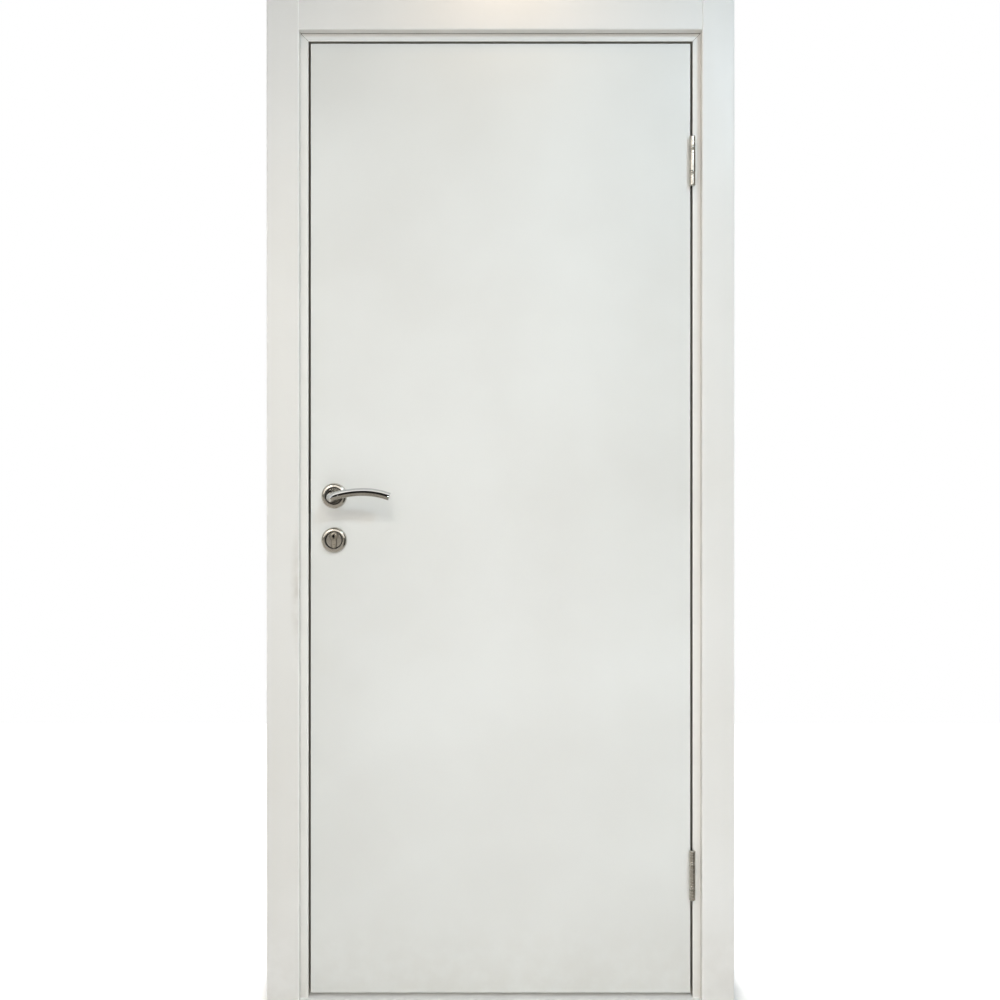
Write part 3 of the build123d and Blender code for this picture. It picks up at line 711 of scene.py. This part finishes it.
def cylinder_end(face):
    """One end of the cylinder from the floor of the plug's bore out to its side. Rings about the plug's own
    axis have a point on the same side of it as each point of the outline."""
    bore_steps = [
        (bore_mm, bore_floor_mm),
        (bore_mm, cylinder_face_mm - bore_arris_mm),
        (bore_mm + bore_arris_mm, cylinder_face_mm),
    ]
    side_steps = [
        (outline - cylinder_arris_mm, cylinder_face_mm),
        (outline, cylinder_face_mm - cylinder_arris_mm),
    ]
    rows = [ring_at(radius, about_plug, height, plug_rise_mm, face) for radius, height in bore_steps]
    return rows + [ring_at(radius, angle, height, 0.0, face) for radius, height in side_steps]


rows = cylinder_end("front") + cylinder_end("back")[::-1]
barrel = cast("key_cylinder_drawn", [np.stack(rows)], [cylinder_nickel], "leaf")
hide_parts("key_cylinder")

# The keyway's outline from the plug's axis: the farther side of an upright slot and of a ward to its left.
plug_radius_mm = 6.5
plug_face_mm = 8.0
plug_edge_mm = 7.5
plug_back_mm = -9.0
keyway_floor_mm = -8.0
keyway_mm = (1.5, 4.6)
ward_mm = (3.8, 2.0)
spoke = np.linspace(0, 2 * np.pi, 97)
across, up = np.maximum(abs(np.cos(spoke)), 1e-6), np.maximum(abs(np.sin(spoke)), 1e-6)
slot = np.minimum(keyway_mm[0] / across, keyway_mm[1] / up)
ward = np.where(np.cos(spoke) < 0, np.minimum(ward_mm[0] / across, ward_mm[1] / up), 0)
keyway = np.maximum(slot, ward)
plug_steps = [
    (0.0, keyway_floor_mm),
    (keyway, keyway_floor_mm),
    (keyway, plug_edge_mm),
    (keyway + 0.35, plug_face_mm - 0.1),
    (plug_radius_mm - 0.5, plug_face_mm),
    (plug_radius_mm - 0.1, plug_face_mm - 0.15),
    (plug_radius_mm, plug_edge_mm),
    (plug_radius_mm, plug_back_mm),
    (0.0, plug_back_mm),
]
plugs = [
    np.stack([ring_at(radius, spoke, height, plug_rise_mm, face) for radius, height in plug_steps])
    for face in leaf_faces
]
# The keyway's floor and walls take the painted shade.
finish = np.append([1, 1], np.zeros(len(plug_steps) - 3))[:, None]
plug_pair = cast("key_plugs_turned", plugs, [plug_nickel, recess_shade], "leaf", finish)
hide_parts("key_plugs")

# Lever roses: spun and plated as the key roses are, with the same rolled rim and groove.
# A round bore lets the lever's neck through, and the fixing is under the cover, so no screw shows.
neck_bore_mm = 10.3
bore_side = eased(
    [
        (middle_mm, middle_height_mm),
        (neck_bore_mm + arris_mm, middle_height_mm),
        (neck_bore_mm, middle_height_mm - arris_mm),
        (neck_bore_mm, 0.0),
        (rim_mm, 0.0),
    ],
    0.2,
)
lever_profile = np.concatenate([ring_profile, bore_side[1:]])
# The groove's rows take the painted shade.
finish = np.append(in_groove, np.zeros(len(bore_side) - 1))[:, None]
for face, (depth, outward) in leaf_faces.items():
    rose = turned(lever_profile, (lock_x, depth, handle_z), (0, outward, 0), 192)
    rose = cast(
        f"{face}_lever_rose_spun", [rose], [rose_nickel, recess_shade], "leaf", finish
    )
    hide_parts(f"{face}_lever_rose")

# Levers: die-cast zinc, the neck flared at the rose and bent into an arched bar, pinned to a square spindle.
# Plated, with the crowned upper face buffed to a mirror and the flat lower face left satin, so the two part
# along a crease: above it the lever shows dark and white bands, below it an even grey.
buffed_chrome = satin_metal("chrome plated and buffed", "#D6D7D8", "#C9CACB", 0.05, (2, 30), 30)
satin_cast = satin_metal("satin nickel plated on cast zinc", "#C4C0B8", "#B0ACA3", 0.26, (0.6, 40))
grip_half_mm = 8.0
grip_depth_mm = 13.0
standoff_mm = 60.0
crease_mm = grip_depth_mm / 2
step_mm = 0.8
fall_mm = 1.6
back_round_mm = 3.0


def arc(centre, radius, start, end, count):
    """Points on a circle, evenly spaced by angle."""
    turn = np.radians(np.linspace(start, end, count))
    return np.stack([centre[0] + radius * np.cos(turn), centre[1] + radius * np.sin(turn)], 1)


# The bar's section as up and forward pairs in mm: the crowned upper face, the back, then the flat lower face
# and its step. The upper face turns from its lean at the crease to the same lean short of the top, so its
# radius follows.
crown_lean = 25
crown_points = 18
crease_up_mm = -2.0
lower_bend_mm = -5.0
lower_rise_mm = 0.8
crown_width_mm = grip_half_mm - crease_up_mm
lean_sine, lean_cosine = np.sin(np.radians(crown_lean)), np.cos(np.radians(crown_lean))
crown_radius_mm = crown_width_mm / (lean_cosine - lean_sine)
crown_centre = (crease_up_mm - crown_radius_mm * lean_sine, crease_mm - crown_radius_mm * lean_cosine)
flat_back = grip_half_mm - back_round_mm
lower_edge = crease_mm - step_mm - fall_mm
lower_face = [(-grip_half_mm, 1.0), (-grip_half_mm, lower_edge), (lower_bend_mm, lower_edge + lower_rise_mm)]
section = np.concatenate(
    [
        arc(crown_centre, crown_radius_mm, 90 - crown_lean, crown_lean, crown_points),
        arc((flat_back, -crease_mm + back_round_mm), back_round_mm, 0, -90, 7),
        arc((-flat_back, -crease_mm + back_round_mm), back_round_mm, -90, -180, 7),
        [(-grip_half_mm, 0.0)],
        eased(lower_face, 0.8)[1:],
        [(crease_up_mm, crease_mm - step_mm), (crease_up_mm, crease_mm)],
    ]
)
crown_columns = crown_points - 1
bearing_of = np.arctan2(section[:, 1], section[:, 0])
disc = np.stack([np.cos(bearing_of), np.sin(bearing_of)], 1)


def eased_step(value):
    """Goes from 0 to 1 with level ends: three times the square less twice the cube."""
    value = np.clip(value, 0, 1)
    return value * value * (3 - 2 * value)


# The path as right, forward and up in mm from the spindle: the neck, a quarter bend, the arch in two radii,
# and a few rows that close the tip. Past the bend the round neck blends into the bar's section, and a fine
# bead runs round the upper face.
heel_arch_mm = 206.0
tip_arch_mm = 154.0
crown_mm = np.array([68.0, 7.7])
reach_mm = 122.0
tip_bevel_mm = 3.0
bend_mm = (14.0, 12.0)
neck_mm = 10.0
flare_radius_mm = 15.6
flare_foot_mm = 6.8
flare_start_mm = 8.0
flare_end_mm = 30.0
heel_mm = 12.0
bead_mm = 16.2
bead_rise_mm = 0.4
bead_width_mm = 0.45
blend_mm = (-12, 10)
bend_end = np.arcsin((heel_mm - crown_mm[0]) / heel_arch_mm)
bend_height = crown_mm[1] - heel_arch_mm * (1 - np.cos(bend_end))
tilt = -bend_end
ahead = np.array([np.cos(tilt), 0.0, np.sin(tilt)])
forward = np.array([0.0, 1.0, 0.0])
upward = np.array([-np.sin(tilt), 0.0, np.cos(tilt)])
grip_middle = standoff_mm - crease_mm
bend_start = np.array([heel_mm, grip_middle, bend_height]) - bend_mm[0] * ahead - bend_mm[1] * forward

rise = np.linspace(0, 1, 24)[1:]
foot_reach = [1.0, flare_foot_mm, flare_foot_mm, flare_foot_mm + 0.2, flare_start_mm]
foot_radius = [neck_mm, neck_mm, flare_radius_mm - 0.2, flare_radius_mm, flare_radius_mm]
flare_reach = flare_start_mm + (flare_end_mm - flare_start_mm) * rise
flare_radius = neck_mm + (flare_radius_mm - neck_mm) * (1 - rise) ** 2.3
plain_reach = np.linspace(flare_end_mm, bend_start[1], 9)[1:]
neck_reach = np.concatenate([foot_reach, flare_reach, plain_reach])
neck_radius = np.concatenate([foot_radius, flare_radius, np.full(len(plain_reach), neck_mm)])
drift = eased_step((neck_reach - flare_start_mm) / (bend_start[1] - flare_start_mm))[:, None]
neck_path = drift * bend_start * (1, 0, 1) + neck_reach[:, None] * forward
quarter = np.linspace(0, np.pi / 2, 22)[1:, None]
bend_path = bend_start + bend_mm[0] * (1 - np.cos(quarter)) * ahead + bend_mm[1] * np.sin(quarter) * forward
bead = np.linspace(bead_mm - 1, bead_mm + 1, 11)
before_bead = np.linspace(heel_mm, bead_mm - 1.2, 6)[1:]
heel_right = np.concatenate([before_bead, bead, np.linspace(bead_mm + 1.8, crown_mm[0], 44)])
heel_turn = np.arcsin((heel_right - crown_mm[0]) / heel_arch_mm)
tip_turn = np.linspace(0, np.arcsin((reach_mm - tip_bevel_mm - crown_mm[0]) / tip_arch_mm), 44)[1:]
turn = np.concatenate([heel_turn, tip_turn])
arch = np.concatenate([np.full(len(heel_turn), heel_arch_mm), np.full(len(tip_turn), tip_arch_mm)])
arch_path = np.stack(
    [
        crown_mm[0] + arch * np.sin(turn),
        np.full(len(turn), grip_middle),
        crown_mm[1] - arch * (1 - np.cos(turn)),
    ],
    1,
)
tip_ahead = np.array([np.cos(turn[-1]), 0.0, -np.sin(turn[-1])])
# For each row of the tip: how far on it lies, how far forward it may reach, and its size.
tip_round = np.array([0.0, 0.4, 1.4, 2.4, 2.8, 3.0, 3.0])
tip_front = crease_mm - np.array([0.05, 0.4, 1.4, 2.4, 2.9, 3.3, 3.3])
tip_scale = np.array([1.0, 1.0, 1.0, 1.0, 0.98, 0.95, 0.0])
tip_path = arch_path[-1] + tip_round[:, None] * tip_ahead
path = np.concatenate([neck_path, bend_path, arch_path, tip_path])

level = np.ones((len(neck_path), 1))
out_axis = np.concatenate(
    [
        -level * ahead,
        -np.cos(quarter) * ahead + np.sin(quarter) * forward,
        np.ones((len(turn) + len(tip_path), 1)) * forward,
    ]
)
arch_up = np.stack([np.sin(turn), np.zeros(len(turn)), np.cos(turn)], 1)
up_axis = np.concatenate(
    [
        level * upward,
        np.ones((len(bend_path), 1)) * upward,
        arch_up,
        np.ones((len(tip_path), 1)) * arch_up[-1],
    ]
)
travelled = np.append(0, np.linalg.norm(np.diff(path, axis=0), axis=1).cumsum())
past_bend = travelled - travelled[len(neck_path)]
blend = eased_step((past_bend - blend_mm[0]) / (blend_mm[1] - blend_mm[0]))[:, None, None]
tube_radius = np.concatenate([neck_radius, np.full(len(path) - len(neck_radius), neck_mm)])
scale = np.concatenate([np.ones(len(path) - len(tip_path)), tip_scale])[:, None, None]
rib = bead_rise_mm * np.exp(-(((path[:, 0] - bead_mm) / bead_width_mm) ** 2)) * (past_bend > 0)
on_crown = (np.arange(len(section)) <= crown_columns)[None, :, None]
swell = 1 + rib[:, None, None] / grip_half_mm * on_crown
shape = ((1 - blend) * tube_radius[:, None, None] * disc + blend * section) * scale * swell
# No row of the bar stands further forward than its crease.
free_rows = np.full(len(neck_path) + len(bend_path), np.inf)
front_limit = np.concatenate([free_rows, np.full(len(turn), crease_mm), tip_front])[:, None]
shape[..., 1] = np.minimum(shape[..., 1], front_limit)
points = path[:, None] + shape[..., :1] * up_axis[:, None] + shape[..., 1:] * out_axis[:, None]
foot_row = np.repeat(path[:1, None], len(section), axis=1)
points = np.concatenate([foot_row, points])
finish = np.where(np.arange(len(section) - 1) < crown_columns, 0, 1)
for face, (depth, outward) in leaf_faces.items():
    placed = np.array([lock_x, depth, handle_z]) + points * (1, outward, 1) * MM
    lever = cast(f"{face}_lever_cast", [placed], [buffed_chrome, satin_cast], "lever", finish)
    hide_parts(f"{face}_lever")

# Stage: a pale floor that takes the shadow, a white surround and soft lamps.
# Dark felt flags and white reflectors stand round it, and show only in what mirrors them: they give the
# plated metal its dark and bright bands.


def card(name, corners):
    """A flat four-cornered sheet of the stage."""
    mesh = bpy.data.meshes.new(name)
    mesh.from_pydata(corners, [], [(0, 1, 2, 3)])
    sheet = bpy.data.objects.new(name, mesh)
    bpy.context.scene.collection.objects.link(sheet)
    return sheet


def seen_plainly(tree):
    """Is 1 for rays that come straight from the camera, from a mirroring surface or through glass."""
    ray = add(tree, "LightPath")
    looked = add(
        tree,
        "Math",
        {"operation": "MAXIMUM"},
        _0=ray.outputs["Is Camera Ray"],
        _1=ray.outputs["Is Glossy Ray"],
    )
    looked = add(
        tree, "Math", {"operation": "MAXIMUM"}, _0=looked.outputs[0], _1=ray.outputs["Is Transmission Ray"]
    )
    return looked.outputs[0]


# Matt floor paint, lifted to plain white away from the door and left to take the shadow close to it.
studio_floor = card("studio_floor", [(-3.4, -2.6, 0), (2.5, -2.6, 0), (2.5, 2.4, 0), (-3.4, 2.4, 0)])
floor_paint, tree, shader = new_material("matt white floor paint")
shader.inputs["Base Color"].default_value = linear("#F4F3F0")
shader.inputs["Roughness"].default_value = 0.8
shader.inputs["Emission Color"].default_value = (1, 1, 1, 1)
floor_lift = 0.85
door_centre = ((cad_box[0][0] + cad_box[1][0]) / 2, 0, 0)
place = add(tree, "TexCoord").outputs["Object"]
centred = add(tree, "VectorMath", {"operation": "SUBTRACT", 1: door_centre}, _0=place)
centred = add(tree, "SeparateXYZ", Vector=centred.outputs[0])
aside = add(tree, "Math", {"operation": "ABSOLUTE"}, _0=centred.outputs["X"])
half_width = (cad_box[1][0] - cad_box[0][0]) / 2
beside = add(
    tree,
    "MapRange",
    {"From Min": half_width - 0.01, "From Max": half_width + 0.06, "To Max": floor_lift},
    Value=aside.outputs[0],
)
behind = add(
    tree,
    "MapRange",
    {"From Min": 0.06, "From Max": 0.3, "To Max": floor_lift},
    Value=centred.outputs["Y"],
)
before = add(
    tree,
    "MapRange",
    {"From Min": -0.1, "From Max": -0.6, "To Max": floor_lift},
    Value=centred.outputs["Y"],
)
lift = add(tree, "Math", {"operation": "MAXIMUM"}, _0=beside.outputs["Result"], _1=behind.outputs["Result"])
lift = add(tree, "Math", {"operation": "MAXIMUM"}, _0=lift.outputs[0], _1=before.outputs["Result"])
lift = add(tree, "Math", {"operation": "MULTIPLY"}, _0=seen_plainly(tree), _1=lift.outputs[0])
tree.links.new(lift.outputs[0], shader.inputs["Emission Strength"])
studio_floor.data.materials.append(floor_paint)


def only_mirrored(sheet, material):
    """Shows a sheet of the stage to mirroring surfaces alone."""
    sheet.data.materials.append(material)
    sheet.visible_camera = False
    sheet.visible_diffuse = False
    sheet.visible_shadow = False


# Felt under soft light: grey low down, nearly black from the height of the handle up and towards the right.
flag_felt, tree, shader = new_material("dark studio felt")
tree.nodes.remove(shader)
place = add(tree, "SeparateXYZ", Vector=add(tree, "TexCoord").outputs["Object"])
shade = add(
    tree,
    "MapRange",
    {"From Min": 0.8, "From Max": 1.08, "To Min": 0.5, "To Max": 0.03},
    Value=place.outputs["Z"],
)
side = add(
    tree,
    "MapRange",
    {"From Min": 0.2, "From Max": 0.5, "To Min": 1.0, "To Max": 0.12},
    Value=place.outputs["X"],
)
shade = add(tree, "Math", {"operation": "MULTIPLY"}, _0=shade.outputs["Result"], _1=side.outputs["Result"])
glow = add(tree, "Emission", {"Color": linear("#F8F2E8")}, Strength=shade.outputs[0])
tree.links.new(glow.outputs[0], tree.nodes["Material Output"].inputs["Surface"])
flags = {
    "front_flag": [(-3.6, -3.4, -0.4), (2.8, -3.4, -0.4), (2.8, -3.4, 4.2), (-3.6, -3.4, 4.2)],
    "left_flag": [(-3.6, -3.4, -0.4), (-3.6, -0.5, -0.4), (-3.6, -0.5, 4.2), (-3.6, -3.4, 4.2)],
    "right_flag": [(2.8, -3.4, -0.4), (2.8, -0.5, -0.4), (2.8, -0.5, 4.2), (2.8, -3.4, 4.2)],
    "ceiling_flag": [(-3.6, -3.4, 4.2), (2.8, -3.4, 4.2), (2.8, -0.64, 4.2), (-3.6, -0.64, 4.2)],
    "floor_flag": [(-3.4, -2.6, 0.003), (2.5, -2.6, 0.003), (2.5, -0.12, 0.003), (-3.4, -0.12, 0.003)],
    "back_flag": [(-3.6, 3.4, -0.4), (2.8, 3.4, -0.4), (2.8, 3.4, 4.2), (-3.6, 3.4, 4.2)],
}
for name, corners in flags.items():
    only_mirrored(card(name, corners), flag_felt)

# Lit white card: the broad bright band on the lever, the roses and the hinges.
reflector_white, tree, shader = new_material("white studio reflector")
tree.nodes.remove(shader)
glow = add(tree, "Emission", {"Color": linear("#FFFBF4"), "Strength": 1.5})
tree.links.new(glow.outputs[0], tree.nodes["Material Output"].inputs["Surface"])
reflectors = {
    "front_reflector": [(-3.5, -3.35, 1.35), (2.4, -3.35, 1.35), (2.4, -3.35, 3.7), (-3.5, -3.35, 3.7)],
    "left_reflector": [(-3.55, -3.3, 1.35), (-3.55, -1.6, 1.35), (-3.55, -1.6, 3.7), (-3.55, -3.3, 3.7)],
    "ceiling_reflector": [(-3.6, -0.64, 4.2), (2.8, -0.64, 4.2), (2.8, 0.7, 4.2), (-3.6, 0.7, 4.2)],
}
for name, corners in reflectors.items():
    only_mirrored(card(name, corners), reflector_white)

world = bpy.data.worlds.new("white surround")
bpy.context.scene.world = world
world.use_nodes = True
tree = world.node_tree
tree.nodes.clear()
surround_light = 0.12
level = add(tree, "MapRange", {"To Min": surround_light, "To Max": 1.0}, Value=seen_plainly(tree))
white = add(tree, "Background", {"Color": (1, 1, 1, 1)}, Strength=level.outputs["Result"])
add(tree, "OutputWorld", Surface=white.outputs["Background"])


def lamp(name, place, aim, size, power, colour, spread=180, mirrored=False):
    """A square soft lamp at a place, turned to face its aim, with its light held within a spread in degrees.
    What mirrors the stage shows it only if it is mirrored."""
    data = bpy.data.lights.new(name, "AREA")
    data.shape = "SQUARE"
    data.size = size
    data.energy = power
    data.color = linear(colour)[:3]
    data.spread = np.radians(spread)
    light = bpy.data.objects.new(name, data)
    light.location = place
    light.rotation_euler = (Vector(aim) - Vector(place)).to_track_quat("-Z", "Y").to_euler()
    light.visible_camera = False
    light.visible_glossy = mirrored
    bpy.context.scene.collection.objects.link(light)


door_middle = (-0.435, -0.04, 1.05)
lamp("front_softbox", (-0.4, -2.3, 1.25), (-0.435, -0.04, 0.4), 1.5, 15, "#FFFFFF")
lamp("high_lamp", (-0.72, -1.2, 3.95), (-0.435, -0.04, 0.5), 0.4, 6, "#FFF9F0")
lamp("middle_lamp", (-0.7, -2.2, 2.7), (-0.435, -0.04, 0.9), 0.5, 1.8, "#FFFAF2", spread=56)
lamp("ceiling_lamp", (-0.42, -0.2, 2.3), (-0.43, -0.04, 1.7), 0.1, 0.5, "#FFDDB8")
lamp("low_fill", (-0.1, -1.4, 0.25), (-0.4, -0.04, 0.05), 0.8, 4.4, "#FFFFFF")
lamp("left_edge_lamp", (-3.2, 0.32, 1.2), (-0.9, 0, 1.0), 0.5, 2.8, "#FFFFFF", spread=60)
lamp("right_edge_lamp", (2.3, 0.32, 1.2), (0, 0, 1.0), 0.5, 2.8, "#FFFFFF", spread=60)
lamp("left_softbox", (-1.7, -2.3, 2.1), door_middle, 0.55, 8, "#FFF6EC", mirrored=True)
lamp("right_lamp", (0.85, -2.1, 2.9), door_middle, 0.2, 25, "#D8F0FF", mirrored=True)
lamp("back_softbox", (-1.5, 2.8, 2.2), door_middle, 1.4, 62, "#FFFFFF", mirrored=True)

# Camera: square to the leaf and level with its middle, at the distance that the photo's perspective suggests.
# Its lens follows from that distance and the width that the picture takes in at the leaf.
camera_data = bpy.data.cameras.new("photo_camera")
camera = bpy.data.objects.new("photo_camera", camera_data)
bpy.context.scene.collection.objects.link(camera)
bpy.context.scene.camera = camera
sensor_mm = 36
view_distance = 2.0
view_width = 2.107
view_x, view_z = -0.4361, 1.0482
camera.location = (view_x, leaf_faces["front"][0] - view_distance, view_z)
camera.rotation_euler = (np.pi / 2, 0, 0)
camera_data.sensor_width = sensor_mm
camera_data.lens = sensor_mm * view_distance / view_width

bpy.context.scene.view_settings.view_transform = "Standard"
